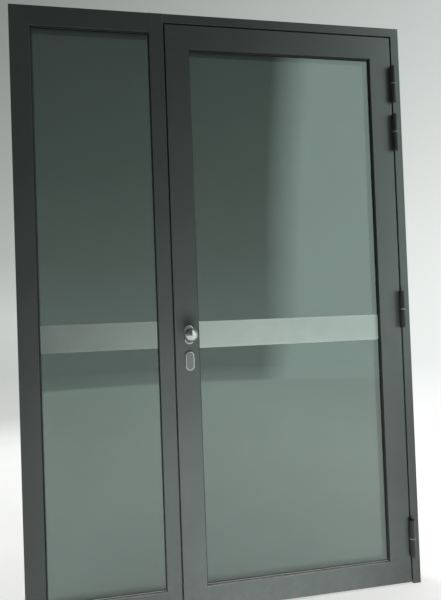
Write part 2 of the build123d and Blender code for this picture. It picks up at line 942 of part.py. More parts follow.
pins = []
rings = []
for number, middle in enumerate(hinge_heights, start=1):
    hinge_bottom = middle - hinge_length / 2
    frame_top = hinge_bottom + knuckle_length
    ring_top = frame_top + hinge_ring_thickness
    leaf_knuckle_bottom = ring_top + axial_play
    leaf_knuckle_top = leaf_knuckle_bottom + knuckle_length
    frame_edge = leaf_right + edge_gap
    save(
        knuckle(hinge_bottom, frame_top, frame_edge - hinge_wing_thickness, frame_edge, False),
        f"hinge_{number}_frame_knuckle",
    )
    save(
        knuckle(
            leaf_knuckle_bottom, leaf_knuckle_top, leaf_right, leaf_right + hinge_wing_thickness, True
        ),
        f"hinge_{number}_leaf_knuckle",
    )
    with BuildPart() as pin:
        pin_top = leaf_knuckle_top - hinge_cap_thickness - axial_play
        barrel(hinge_bottom + hinge_cap_thickness, pin_top, hinge_pin_radius)
    pins.append(pin.part)
    with BuildPart() as bearing_ring:
        barrel(frame_top, ring_top, hinge_barrel_radius + hinge_ring_extra)
        barrel(frame_top, ring_top, hinge_pin_radius + running_clearance, Mode.SUBTRACT)
    rings.append(bearing_ring.part)
save(group(pins), "hinge_pins")
save(group(rings), "hinge_rings")

# Lock case, a closed box with tunnels for its bolts, follower and cylinder
case_y0 = lock_y - case_thickness / 2
case_y1 = lock_y + case_thickness / 2
latch_back_room = latch_tip + latch_throw + faceplate_thickness + latch_tail + fit_clearance
deadbolt_tip = leaf_rebate_left + bolt_fit
deadbolt_back = deadbolt_tip + deadbolt_length


def bolt_tunnel(x0, x1, middle_z, height, thickness):
    """Straight passage for a bolt, with sliding room all round."""
    block(
        x0,
        x1,
        lock_y - thickness / 2 - bolt_fit,
        lock_y + thickness / 2 + bolt_fit,
        middle_z - height / 2 - bolt_fit,
        middle_z + height / 2 + bolt_fit,
        Mode.SUBTRACT,
    )


with BuildPart() as lock_case:
    block(case_front, case_back, case_y0, case_y1, case_bottom, case_top)
    bolt_tunnel(case_front, latch_back_room, latch_z, latch_height, latch_thickness)
    bolt_tunnel(case_front, deadbolt_back + fit_clearance, deadbolt_z, deadbolt_height, latch_thickness)
    with BuildSketch(elevation(case_y0)):
        with Locations((lock_x, spindle_height)):
            Circle(follower_radius + running_clearance)
        cylinder_outline(0)
    extrude(amount=-case_thickness, mode=Mode.SUBTRACT)
save(lock_case.part, "lock_case")

with BuildPart() as lock_faceplate:
    with BuildSketch(Plane.YZ.offset(leaf_rebate_left)):
        slab(
            lock_y - faceplate_width / 2,
            lock_y + faceplate_width / 2,
            faceplate_bottom,
            faceplate_top,
        )
    extrude(amount=faceplate_thickness)
    bolt_tunnel(leaf_rebate_left, case_front, latch_z, latch_height, latch_thickness)
    bolt_tunnel(leaf_rebate_left, case_front, deadbolt_z, deadbolt_height, latch_thickness)
save(lock_faceplate.part, "lock_faceplate")

# Latch bolt: flat towards outdoors, bevelled towards the room, where the strike pushes it in
latch_front = lock_y - latch_thickness / 2
latch_rear = lock_y + latch_thickness / 2
with BuildPart() as latch_bolt:
    with BuildSketch(Plane.XY.offset(latch_z - latch_height / 2)):
        with BuildLine():
            Polyline(
                (latch_tip, latch_front),
                (latch_tip, latch_front + latch_tip_land),
                (latch_tip + latch_bevel_length, latch_rear),
                (leaf_rebate_left + faceplate_thickness + latch_tail - latch_throw, latch_rear),
                (leaf_rebate_left + faceplate_thickness + latch_tail - latch_throw, latch_front),
                close=True,
            )
        make_face()
    extrude(amount=latch_height)
save(latch_bolt.part, "latch_bolt")

with BuildPart() as deadbolt:
    block(
        deadbolt_tip,
        deadbolt_back,
        latch_front,
        latch_rear,
        deadbolt_z - deadbolt_height / 2,
        deadbolt_z + deadbolt_height / 2,
    )
    chamfer(edges().filter_by(Axis.Z).group_by(Axis.X)[0], edge_radius)
save(deadbolt.part, "deadbolt")

with BuildPart() as lock_follower:
    with BuildSketch(elevation(case_y0)):
        with Locations((lock_x, spindle_height)):
            Circle(follower_radius)
            Rectangle(spindle_side, spindle_side, mode=Mode.SUBTRACT)
    extrude(amount=-case_thickness)
save(lock_follower.part, "lock_follower")

# Lever handle on the room side: a round bar out of the rose, along the leaf and back towards it
lever_start = inner_face + axial_play
lever_axis_y = inner_face + lever_projection
with BuildPart() as lever:
    with BuildLine():
        FilletPolyline(
            (lock_x, lever_start, spindle_height),
            (lock_x, lever_axis_y, spindle_height),
            (lock_x + lever_length, lever_axis_y, spindle_height),
            (lock_x + lever_length, lever_axis_y - lever_return - lever_bend_radius, spindle_height),
            radius=lever_bend_radius,
        )
    with BuildSketch(Plane(origin=(lock_x, lever_start, spindle_height), z_dir=(0, 1, 0))):
        Circle(lever_radius)
    sweep()
    lever_end = edges().filter_by(GeomType.CIRCLE).group_by(Axis.X)[-1].sort_by(Axis.Y)[0]
    fillet(lever_end, lever_end_rounding)
    with BuildSketch(elevation(lever_start)):
        with Locations((lock_x, spindle_height)):
            Rectangle(spindle_side, spindle_side)
    extrude(amount=-lever_socket_depth, mode=Mode.SUBTRACT)
save(lever.part, "lever")

with BuildPart() as spindle:
    with BuildSketch(elevation(case_y0)):
        with Locations((lock_x, spindle_height)):
            Rectangle(spindle_side, spindle_side)
    extrude(amount=case_y0 - lever_start - lever_socket_depth)
save(spindle.part, "spindle")


# Oval roses and escutcheons
def oval(height_z, inset=0.0):
    """Upright oval outline round a point of the lock's line."""
    with Locations((lock_x, height_z)):
        SlotOverall(rose_height - 2 * inset, rose_width - 2 * inset, rotation=90)


def oval_plate(y_wall, towards_room, height_z, recess):
    """Oval plate with a rounded rim round a shallow recess."""
    outward = -1 if towards_room else 1
    with BuildSketch(elevation(y_wall)) as outline:
        oval(height_z)
    extrude(outline.sketch, amount=outward * rose_thickness)
    front = faces().sort_by(Axis.Y)[-1 if towards_room else 0]
    fillet(front.edges(), rose_rounding)
    with BuildSketch(elevation(y_wall - outward * rose_thickness)) as hollow:
        oval(height_z, rose_rim)
    extrude(hollow.sketch, amount=-outward * recess, mode=Mode.SUBTRACT)


with BuildPart() as knob_rose:
    oval_plate(outer_face, False, spindle_height, rose_recess)
    with BuildSketch(elevation(outer_face)):
        with Locations((lock_x, spindle_height)):
            Circle(knob_stud_radius)
    extrude(amount=rose_thickness, mode=Mode.SUBTRACT)
save(knob_rose.part, "knob_rose")

with BuildPart() as outer_escutcheon:
    oval_plate(outer_face, False, cylinder_height, blind_recess)
save(outer_escutcheon.part, "outer_escutcheon")

with BuildPart() as lever_rose:
    oval_plate(inner_face, True, spindle_height, rose_recess)
    with BuildSketch(elevation(inner_face)):
        with Locations((lock_x, spindle_height)):
            Circle(lever_radius + running_clearance)
    extrude(amount=-rose_thickness, mode=Mode.SUBTRACT)
save(lever_rose.part, "lever_rose")

with BuildPart() as inner_escutcheon:
    oval_plate(inner_face, True, cylinder_height, rose_recess)
    with BuildSketch(elevation(inner_face)):
        cylinder_outline(0)
    extrude(amount=-rose_thickness, mode=Mode.SUBTRACT)
save(inner_escutcheon.part, "inner_escutcheon")

# Fixed ball knob outdoors, turned in one piece with its neck and stud
knob_base = -rose_thickness + rose_recess
neck_meets_ball = -knob_projection + (knob_radius**2 - knob_neck_radius**2) ** 0.5
with BuildPart() as knob:
    with BuildSketch(Plane(origin=(lock_x, outer_face, spindle_height), z_dir=(0, 0, 1))):
        with BuildLine():
            Polyline(
                (0, -knob_projection - knob_radius),
                (0, knob_stud_length),
                (knob_stud_radius, knob_stud_length),
                (knob_stud_radius, knob_base),
                (knob_neck_radius, knob_base),
            )
            ThreePointArc(
                (knob_neck_radius, knob_base),
                (knob_neck_radius - knob_neck_waist, (knob_base + neck_meets_ball) / 2),
                (knob_neck_radius, neck_meets_ball),
            )
            ThreePointArc(
                (knob_neck_radius, neck_meets_ball),
                (knob_radius, -knob_projection),
                (0, -knob_projection - knob_radius),
            )
        make_face()
    revolve(axis=Axis((lock_x, outer_face, spindle_height), (0, 1, 0)))
save(knob.part, "knob")

# Lock cylinder, reached from the room, and its thumb turn
cylinder_front = case_y0
cylinder_back = inner_face + cylinder_proud
turn_base = cylinder_back + turn_gap
with BuildPart() as lock_cylinder:
    with BuildSketch(elevation(cylinder_front)):
        cylinder_outline(0)
    extrude(amount=cylinder_front - cylinder_back)
    with BuildSketch(elevation(cylinder_back)):
        with Locations((lock_x, cylinder_height)):
            Circle(turn_shaft_radius + running_clearance)
    extrude(amount=turn_shaft_length + axial_play, mode=Mode.SUBTRACT)
save(lock_cylinder.part, "lock_cylinder")

with BuildPart() as thumb_turn:
    with BuildSketch(elevation(turn_base)):
        with Locations((lock_x, cylinder_height)):
            Circle(turn_shaft_radius)
    extrude(amount=turn_shaft_length + turn_gap)
    with BuildSketch(elevation(turn_base)):
        with Locations((lock_x, cylinder_height)):
            SlotOverall(turn_length, turn_thickness, rotation=90)
    extrude(amount=-turn_depth)
    fillet(faces().sort_by(Axis.Y)[-1].edges(), rose_rounding)
save(thumb_turn.part, "thumb_turn")

# Strike plate and strike case in the mullion's stop
with BuildPart() as strike_plate:
    block(
        strike_case_right,
        mullion_stop_right,
        stop_front,
        stop_front + strike_plate_width,
        strike_plate_bottom,
        strike_plate_top,
    )
    block(
        strike_case_right,
        mullion_stop_right,
        stop_front,
        lock_y + latch_thickness / 2 + latch_clearance,
        latch_z - exit_half_height,
        latch_z + exit_half_height,
        Mode.SUBTRACT,
    )
    bolt_tunnel(strike_case_right, mullion_stop_right, deadbolt_z, deadbolt_height, latch_thickness)
save(strike_plate.part, "strike_plate")

with BuildPart() as strike_case:
    block(
        strike_case_left,
        strike_case_right,
        strike_case_front,
        strike_case_back,
        latch_z - strike_case_half,
        latch_z + strike_case_half,
    )
    with BuildSketch(Plane.XY.offset(latch_z - cavity_half_height)):
        with Locations((keeper_x, lock_y)):
            Circle(cavity_radius)
        slab(keeper_x, strike_case_right, lock_y - cavity_radius, lock_y + cavity_radius)
    extrude(amount=2 * cavity_half_height, mode=Mode.SUBTRACT)
    block(
        exit_left,
        strike_case_right,
        strike_case_front,
        lock_y,
        latch_z - exit_half_height,
        latch_z + exit_half_height,
        Mode.SUBTRACT,
    )
    pin_bore_half = keeper_half_height + keeper_pin_length
    with BuildSketch(Plane.XY.offset(latch_z - pin_bore_half)):
        with Locations((keeper_x, lock_y)):
            Circle(keeper_pin_radius + running_clearance)
    extrude(amount=2 * pin_bore_half, mode=Mode.SUBTRACT)
save(strike_case.part, "strike_case")


# Keeper: a curved wall on a vertical pivot; at rest it stands aside and leaves the latch free
def keeper_sector(inner_radius):
    """Part of a ring round the pivot, over the keeper's angle."""
    with BuildLine() as outline:
        outer_arc = CenterArc(
            (keeper_x, lock_y), keeper_outer_radius, keeper_sector_start, keeper_sector_size
        )
        if inner_radius:
            inner_arc = CenterArc((keeper_x, lock_y), inner_radius, keeper_sector_start, keeper_sector_size)
            Line(outer_arc @ 0, inner_arc @ 0)
            Line(outer_arc @ 1, inner_arc @ 1)
        else:
            Polyline(outer_arc @ 1, (keeper_x, lock_y), outer_arc @ 0)
    make_face(outline.edges())


with BuildPart() as strike_keeper:
    with BuildSketch(Plane.XY.offset(latch_z - keeper_half_height)):
        keeper_sector(keeper_inner_radius)
    extrude(amount=2 * keeper_half_height)
    for plate_bottom in (latch_z - keeper_half_height, latch_z + keeper_half_opening):
        with BuildSketch(Plane.XY.offset(plate_bottom)):
            keeper_sector(0)
            with Locations((keeper_x, lock_y)):
                Circle(keeper_hub_radius)
        extrude(amount=keeper_plate_thickness)
    pin_half = keeper_half_height + keeper_pin_length - axial_play
    for pin_bottom in (latch_z - pin_half, latch_z + keeper_half_opening):
        with BuildSketch(Plane.XY.offset(pin_bottom)):
            with Locations((keeper_x, lock_y)):
                Circle(keeper_pin_radius)
        extrude(amount=pin_half - keeper_half_opening)
save(strike_keeper.part, "strike_keeper")
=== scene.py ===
import math

import bmesh
import bpy
from mathutils import Matrix, Vector


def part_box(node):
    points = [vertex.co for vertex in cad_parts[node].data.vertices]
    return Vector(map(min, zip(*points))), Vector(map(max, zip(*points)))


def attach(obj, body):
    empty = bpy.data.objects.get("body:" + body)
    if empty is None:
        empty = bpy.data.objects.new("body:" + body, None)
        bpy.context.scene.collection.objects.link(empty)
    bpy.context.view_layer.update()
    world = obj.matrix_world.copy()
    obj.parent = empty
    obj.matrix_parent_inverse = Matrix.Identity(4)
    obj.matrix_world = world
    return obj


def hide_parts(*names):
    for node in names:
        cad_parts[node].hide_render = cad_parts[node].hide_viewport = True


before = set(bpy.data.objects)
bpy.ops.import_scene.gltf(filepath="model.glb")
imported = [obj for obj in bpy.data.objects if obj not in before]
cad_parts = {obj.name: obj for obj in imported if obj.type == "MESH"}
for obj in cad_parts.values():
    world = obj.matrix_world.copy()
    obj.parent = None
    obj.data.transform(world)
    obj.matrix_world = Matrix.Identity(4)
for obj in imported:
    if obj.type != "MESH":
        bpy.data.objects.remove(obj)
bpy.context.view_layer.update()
scene = bpy.context.scene
scene.view_settings.view_transform = "Standard"


# Camera: stands outdoors at chest height, left of the door's middle and two metres off, turned a little
# to the right. The rows are its right, up and backward directions.
camera_data = bpy.data.cameras.new("camera")
camera_data.sensor_width = 36.0
camera_data.lens = 33.6
camera = bpy.data.objects.new("camera", camera_data)
scene.collection.objects.link(camera)
camera_right = Vector((0.98094964, -0.19085819, -0.03620705))
camera_up = Vector((0.03179225, -0.02614385, 0.99915252))
camera_back = camera_right.cross(camera_up)
camera.matrix_world = Matrix.Translation((-0.4099, -2.0324, 1.0708)) @ Matrix(
    (camera_right, camera_up, camera_back)
).transposed().to_4x4()
scene.camera = camera


# Studio: a pale floor, a pale surround that darkens gently upwards, and three soft lamps: one at the
# right, one under the floor in front of the door, which the floor lets through, and one in the room.
def link(tree, source, target):
    tree.links.new(source, target)


def value_ramp(tree, factor, stops):
    """Colour ramp node over a factor; stops are (position, colour)."""
    ramp = tree.nodes.new("ShaderNodeValToRGB")
    elements = ramp.color_ramp.elements
    while len(elements) < len(stops):
        elements.new(0.5)
    for element, (position, colour) in zip(elements, stops):
        element.position = position
        element.color = (*colour, 1.0)
    link(tree, factor, ramp.inputs["Fac"])
    return ramp.outputs["Color"]


def blend_colours(tree, factor, a, b, mode="MIX"):
    """Mix of two colours, each given as a socket or as plain numbers."""
    node = tree.nodes.new("ShaderNodeMix")
    node.data_type = "RGBA"
    node.blend_type = mode
    for value, socket in ((factor, "Factor"), (a, "A"), (b, "B")):
        if isinstance(value, bpy.types.NodeSocket):
            link(tree, value, node.inputs[socket])
        elif isinstance(value, tuple):
            node.inputs[socket].default_value = (*value, 1.0)
        else:
            node.inputs[socket].default_value = value
    return node.outputs["Result"]


def span(tree, value, low, high, out_low=0.0, out_high=1.0):
    """Maps a value from one range to another, held at the ends."""
    node = tree.nodes.new("ShaderNodeMapRange")
    node.inputs["From Min"].default_value = low
    node.inputs["From Max"].default_value = high
    node.inputs["To Min"].default_value = out_low
    node.inputs["To Max"].default_value = out_high
    link(tree, value, node.inputs["Value"])
    return node.outputs["Result"]


def combine(tree, operation, a, b):
    """Math node over two sockets."""
    node = tree.nodes.new("ShaderNodeMath")
    node.operation = operation
    link(tree, a, node.inputs[0])
    link(tree, b, node.inputs[1])
    return node.outputs[0]


def seen_by_rays(tree):
    """1 for camera, glossy and transmission rays, which see the backdrop without lighting by it."""
    rays = tree.nodes.new("ShaderNodeLightPath")
    result = rays.outputs["Is Camera Ray"]
    for kind in ("Is Glossy Ray", "Is Transmission Ray"):
        result = combine(tree, "MAXIMUM", result, rays.outputs[kind])
    return result


def surround_colour(tree, direction):
    """Backdrop in one direction: pale walls on the room side, a dim upper left and a bright right
    outdoors, both brightest at the horizon."""
    axes = tree.nodes.new("ShaderNodeSeparateXYZ")
    link(tree, direction, axes.inputs[0])
    room_side = value_ramp(
        tree,
        axes.outputs["Z"],
        [
            (0.0, (0.866, 0.903, 0.885)),
            (0.12, (0.817, 0.854, 0.836)),
            (0.3, (0.69, 0.73, 0.71)),
            (0.48, (0.58, 0.62, 0.60)),
            (1.0, (0.354, 0.378, 0.366)),
        ],
    )
    dimmer_left = value_ramp(
        tree,
        axes.outputs["Z"],
        [(0.0, (0.64, 0.64, 0.63)), (0.1, (0.50, 0.50, 0.49)), (0.45, (0.36, 0.36, 0.35))],
    )
    left_to_right = blend_colours(
        tree, span(tree, axes.outputs["X"], -0.25, 0.6), dimmer_left, (1.0, 1.0, 1.0)
    )
    room_side = blend_colours(tree, 1.0, room_side, left_to_right, "MULTIPLY")
    outdoors = value_ramp(
        tree,
        axes.outputs["Z"],
        [
            (0.0, (0.34, 0.37, 0.36)),
            (0.1, (0.25, 0.27, 0.26)),
            (0.25, (0.17, 0.19, 0.18)),
            (0.45, (0.12, 0.135, 0.13)),
            (1.0, (0.05, 0.06, 0.055)),
        ],
    )
    outdoors = blend_colours(
        tree, span(tree, axes.outputs["X"], 0.27, 0.33), outdoors, (0.95, 1.06, 1.02)
    )
    return blend_colours(tree, span(tree, axes.outputs["Y"], -0.15, 0.15), outdoors, room_side)


world = bpy.data.worlds.new("surround")
world.use_nodes = True
scene.world = world
sky = world.node_tree
sky_coordinates = sky.nodes.new("ShaderNodeTexCoord")
sky_axes = sky.nodes.new("ShaderNodeSeparateXYZ")
link(sky, sky_coordinates.outputs["Generated"], sky_axes.inputs[0])
# What lights the object is weaker than what is seen: light from straight above, and a plain room side.
cast = value_ramp(
    sky,
    sky_axes.outputs["Z"],
    [
        (0.0, (0.03, 0.032, 0.031)),
        (0.3, (0.015, 0.016, 0.015)),
        (0.84, (0.02, 0.02, 0.02)),
        (1.0, (3.6, 3.6, 3.53)),
    ],
)
cast = blend_colours(
    sky, span(sky, sky_axes.outputs["Y"], -0.1, 0.4), cast, (0.36, 0.37, 0.36)
)
seen = surround_colour(sky, sky_coordinates.outputs["Generated"])
link(
    sky,
    blend_colours(sky, seen_by_rays(sky), cast, seen),
    sky.nodes["Background"].inputs["Color"],
)

# The floor is painted near the door. Further off it takes the backdrop's colour, so that no horizon
# shows on the room side.
floor_mesh = bpy.data.meshes.new("floor")
floor_shape = bmesh.new()
bmesh.ops.create_grid(floor_shape, x_segments=8, y_segments=8, size=30.0)
floor_shape.to_mesh(floor_mesh)
floor_shape.free()
floor = bpy.data.objects.new("floor", floor_mesh)
scene.collection.objects.link(floor)
floor_paint = bpy.data.materials.new("pale_floor")
floor_paint.use_nodes = True
floor_tree = floor_paint.node_tree
floor_shader = floor_tree.nodes["Principled BSDF"]
floor_shader.inputs["Roughness"].default_value = 0.65
floor_shader.inputs["Specular IOR Level"].default_value = 0.25
floor_place = floor_tree.nodes.new("ShaderNodeTexCoord")
floor_cloud = floor_tree.nodes.new("ShaderNodeTexNoise")
floor_cloud.inputs["Scale"].default_value = 2.2
floor_cloud.inputs["Detail"].default_value = 5.0
link(floor_tree, floor_place.outputs["Object"], floor_cloud.inputs["Vector"])
link(
    floor_tree,
    value_ramp(
        floor_tree,
        floor_cloud.outputs["Fac"],
        [(0.3, (0.57, 0.575, 0.57)), (0.7, (0.63, 0.635, 0.63))],
    ),
    floor_shader.inputs["Base Color"],
)
floor_distance = floor_tree.nodes.new("ShaderNodeVectorMath")
floor_distance.operation = "LENGTH"
link(floor_tree, floor_place.outputs["Object"], floor_distance.inputs[0])
floor_bearing = floor_tree.nodes.new("ShaderNodeVectorMath")
floor_bearing.operation = "NORMALIZE"
link(floor_tree, floor_place.outputs["Object"], floor_bearing.inputs[0])
floor_seen = seen_by_rays(floor_tree)
floor_far = floor_tree.nodes.new("ShaderNodeEmission")
floor_axes = floor_tree.nodes.new("ShaderNodeSeparateXYZ")
link(floor_tree, floor_bearing.outputs["Vector"], floor_axes.inputs[0])
backdrop = surround_colour(floor_tree, floor_bearing.outputs["Vector"])
open_floor = blend_colours(
    floor_tree, span(floor_tree, floor_axes.outputs["Y"], -0.15, 0.15), (0.80, 0.86, 0.83), backdrop
)
beyond_floor = span(floor_tree, floor_distance.outputs["Value"], 6.4, 6.7)
link(
    floor_tree,
    blend_colours(floor_tree, beyond_floor, open_floor, backdrop),
    floor_far.inputs["Color"],
)
link(floor_tree, span(floor_tree, floor_seen, 0.0, 1.0, 0.3, 1.0), floor_far.inputs["Strength"])
floor_shader.inputs["Emission Color"].default_value = (1.0, 1.0, 0.99, 1.0)
floor_ground = floor_tree.nodes.new("ShaderNodeSeparateXYZ")
link(floor_tree, floor_place.outputs["Object"], floor_ground.inputs[0])
left_to_right_glow = span(floor_tree, floor_ground.outputs["X"], -0.7, 1.3, 0.35, 0.68)
link(
    floor_tree,
    combine(floor_tree, "MULTIPLY", floor_seen, left_to_right_glow),
    floor_shader.inputs["Emission Strength"],
)
floor_mix = floor_tree.nodes.new("ShaderNodeMixShader")
link(
    floor_tree,
    span(floor_tree, floor_distance.outputs["Value"], 1.2, 9.0),
    floor_mix.inputs["Fac"],
)
link(floor_tree, floor_shader.outputs[0], floor_mix.inputs[1])
link(floor_tree, floor_far.outputs[0], floor_mix.inputs[2])
link(floor_tree, floor_mix.outputs[0], floor_tree.nodes["Material Output"].inputs["Surface"])
floor_mesh.materials.append(floor_paint)
floor.visible_shadow = False

for lamp_name, lamp_place, lamp_aim, lamp_size, lamp_spread, lamp_power, lamp_colour in (
    ("lamp_right", (1.25, -0.45, 1.9), (0.78, 0.0, 1.9), (0.5, 2.2), 60, 4.0, (0.86, 1.0, 0.965)),
    ("lamp_under_floor", (0.08, -1.0, -0.25), (0.08, 0.0, 0.35), (1.15, 1.3), 71, 9.3, (0.97, 1.0, 0.99)),
    ("lamp_room_side", (-1.8, 3.0, 2.6), (0.0, 0.0, 1.0), (2.4, 2.4), 180, 80.0, (1.0, 1.0, 0.99)),
):
    lamp_data = bpy.data.lights.new(lamp_name, "AREA")
    lamp_data.shape = "RECTANGLE"
    lamp_data.size, lamp_data.size_y = lamp_size
    lamp_data.energy = lamp_power
    lamp_data.color = lamp_colour
    lamp_data.spread = math.radians(lamp_spread)
    # The floor lets only shadow rays through to the lamp under it, so that lamp is sampled by these alone.
    lamp_data.cycles.use_multiple_importance_sampling = lamp_name != "lamp_under_floor"
    lamp = bpy.data.objects.new(lamp_name, lamp_data)
    scene.collection.objects.link(lamp)
    lamp.visible_camera = False
    lamp.visible_transmission = False
    lamp.visible_glossy = False
    lamp.matrix_world = Matrix.Translation(lamp_place) @ (
        Vector(lamp_aim) - Vector(lamp_place)
    ).to_track_quat("-Z", "Y").to_matrix().to_4x4()


# Bars of frame and leaf: extruded aluminium, mitred, with dark grey satin polyester powder baked on. The
# coat has a fine orange peel and is painted paler on every edge, partly as thin worn coat and partly as a
# painted highlight on the rounded arris. It holds dust low down, where faces that look up are painted
# paler, partly as dust and partly as painted light from above.
def dress(material, *names):
    """Gives CAD nodes a material in place of their plain one."""
    for name in names:
        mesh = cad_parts[name].data
        mesh.materials.clear()
        mesh.materials.append(material)


def blank_material(name):
    """New material; returns it with its node tree and its Principled shader."""
    material = bpy.data.materials.new(name)
    material.use_nodes = True
    tree = material.node_tree
    return material, tree, tree.nodes["Principled BSDF"]


def noise(tree, scale, detail=2.0, roughness=0.5, stretch=(1.0, 1.0, 1.0)):
    """Noise over the object's own metres, stretched along an axis by a factor under 1."""
    place = tree.nodes.new("ShaderNodeTexCoord")
    mapping = tree.nodes.new("ShaderNodeMapping")
    mapping.inputs["Scale"].default_value = stretch
    link(tree, place.outputs["Object"], mapping.inputs["Vector"])
    texture = tree.nodes.new("ShaderNodeTexNoise")
    texture.inputs["Scale"].default_value = scale
    texture.inputs["Detail"].default_value = detail
    texture.inputs["Roughness"].default_value = roughness
    link(tree, mapping.outputs["Vector"], texture.inputs["Vector"])
    return texture.outputs["Fac"]


def bump(tree, height, depth, strength=1.0):
    """Bump from a height, its depth in metres."""
    node = tree.nodes.new("ShaderNodeBump")
    node.inputs["Distance"].default_value = depth
    node.inputs["Strength"].default_value = strength
    link(tree, height, node.inputs["Height"])
    return node.outputs["Normal"]


def axis_of(tree, axis):
    """Coordinate of the surface point along one axis, in metres."""
    place = tree.nodes.new("ShaderNodeTexCoord")
    split = tree.nodes.new("ShaderNodeSeparateXYZ")
    link(tree, place.outputs["Object"], split.inputs[0])
    return split.outputs[axis]


def edge_mask(tree, radius):
    """1 along sharp edges, from how far a rounded normal turns away from the true one."""
    rounded = tree.nodes.new("ShaderNodeBevel")
    rounded.samples = 4
    rounded.inputs["Radius"].default_value = radius
    geometry = tree.nodes.new("ShaderNodeNewGeometry")
    dot = tree.nodes.new("ShaderNodeVectorMath")
    dot.operation = "DOT_PRODUCT"
    link(tree, rounded.outputs["Normal"], dot.inputs[0])
    link(tree, geometry.outputs["True Normal"], dot.inputs[1])
    return span(tree, dot.outputs["Value"], 0.995, 0.86)


def dust_and_top_light(tree, colour, specked, ledge_dust_and_light):
    """Lays pale dust over a colour below knee height: specks, and a film on faces that look up, which
    is also painted light from above on those faces.
    """
    specks = span(tree, noise(tree, 42.0, 6.0, 0.7), 0.45, 0.8, 0.0, specked)
    geometry = tree.nodes.new("ShaderNodeNewGeometry")
    facing = tree.nodes.new("ShaderNodeSeparateXYZ")
    link(tree, geometry.outputs["Normal"], facing.inputs[0])
    # Faces that look up are painted pale, partly as dust and partly as painted light from above.
    dusty_lit_ledges = span(tree, facing.outputs["Z"], 0.1, 0.7, 0.0, ledge_dust_and_light)
    covered = combine(tree, "MAXIMUM", specks, dusty_lit_ledges)
    low_down = span(tree, axis_of(tree, "Z"), 0.35, 0.1)
    share = combine(tree, "MULTIPLY", covered, low_down)
    return blend_colours(tree, share, colour, (0.80, 0.82, 0.79))


def powder_coat(name, colour):
    """Satin powder coat in one colour, clouded a trace and paler on every edge, partly as worn coat and
    partly as a painted highlight. Near the floor it has a few specks of dust, and faces that look up are
    painted paler there, partly as dust and partly as painted light from above.
    """
    material, tree, shader = blank_material(name)
    r, g, b = colour
    cloud = noise(tree, 3.5, 4.0, 0.6)
    tone = value_ramp(
        tree,
        cloud,
        [
            (0.3, (r * 0.9, g * 0.9, b * 0.9)),
            (0.7, (r * 1.08, g * 1.08, b * 1.08)),
        ],
    )
    # Edges painted paler: partly thin worn coat, partly a painted highlight on the rounded arris.
    worn_and_highlit = blend_colours(tree, edge_mask(tree, 0.0012), tone, (r * 1.9, g * 1.9, b * 1.9))
    link(tree, dust_and_top_light(tree, worn_and_highlit, 0.03, 0.6), shader.inputs["Base Color"])
    link(tree, span(tree, noise(tree, 6.0), 0.3, 0.7, 0.28, 0.33), shader.inputs["Roughness"])
    shader.inputs["Specular IOR Level"].default_value = 0.45
    peel = bump(tree, noise(tree, 620.0, 3.0), 0.00006, 0.6)
    link(tree, peel, shader.inputs["Normal"])
    return material


frame_coat = powder_coat("frame_coat", (0.074, 0.086, 0.082))
leaf_coat = powder_coat("leaf_coat", (0.079, 0.091, 0.087))
dress(
    frame_coat,
    "left_jamb",
    "right_jamb",
    "sidelight_head",
    "door_head",
    "mullion",
    "sidelight_bottom_rail",
    "sidelight_beads",
)
dress(
    leaf_coat,
    "leaf_top_rail",
    "leaf_bottom_rail",
    "leaf_lock_stile",
    "leaf_hinge_stile",
    "leaf_beads",
)

# Insulating strips: black nylon filled with glass fibre, drawn as long profiles. They are rolled into the
# grooves between the outer and the inner shell of each bar and keep the two apart.
strip_nylon, tree, shader = blank_material("strip_nylon")
fibres = noise(tree, 260.0, 3.0, 0.6, (0.08, 1.0, 0.08))
link(
    tree,
    value_ramp(tree, fibres, [(0.3, (0.012, 0.012, 0.013)), (0.75, (0.03, 0.03, 0.032))]),
    shader.inputs["Base Color"],
)
link(tree, span(tree, fibres, 0.3, 0.7, 0.5, 0.7), shader.inputs["Roughness"])
link(tree, bump(tree, fibres, 0.0001), shader.inputs["Normal"])
dress(strip_nylon, "frame_thermal_strips", "leaf_thermal_strips")

# Corner cleats and butt connectors: raw cast aluminium blocks inside the chambers, pressed and screwed
# where two bars meet.
cast_alloy, tree, shader = blank_material("cast_alloy")
shader.inputs["Metallic"].default_value = 1.0
grain = noise(tree, 380.0, 5.0, 0.65)
link(
    tree,
    value_ramp(tree, noise(tree, 30.0, 4.0), [(0.3, (0.50, 0.51, 0.52)), (0.7, (0.64, 0.65, 0.66))]),
    shader.inputs["Base Color"],
)
link(tree, span(tree, grain, 0.3, 0.7, 0.42, 0.62), shader.inputs["Roughness"])
link(tree, bump(tree, grain, 0.00025), shader.inputs["Normal"])
dress(cast_alloy, "frame_corner_cleats", "frame_connectors", "leaf_corner_cleats")

# Insulating glass: two tinted 6 mm float panes, sealed round a cavity and clamped between gaskets. A thin
# metal-oxide coat makes them mirror more than bare glass, and faint dust clouds the tint a trace.
pane_glass, tree, shader = blank_material("pane_glass")
link(
    tree,
    value_ramp(
        tree,
        noise(tree, 5.0, 6.0, 0.65),
        [(0.35, (0.29, 0.34, 0.32)), (0.7, (0.3045, 0.357, 0.336))],
    ),
    shader.inputs["Base Color"],
)
shader.inputs["Roughness"].default_value = 0.0
shader.inputs["IOR"].default_value = 2.25
shader.inputs["Specular Tint"].default_value = (0.86, 1.0, 0.95, 1.0)
shader.inputs["Transmission Weight"].default_value = 1.0
dress(
    pane_glass,
    "sidelight_outer_pane",
    "sidelight_inner_pane",
    "leaf_outer_pane",
    "leaf_inner_pane",
)

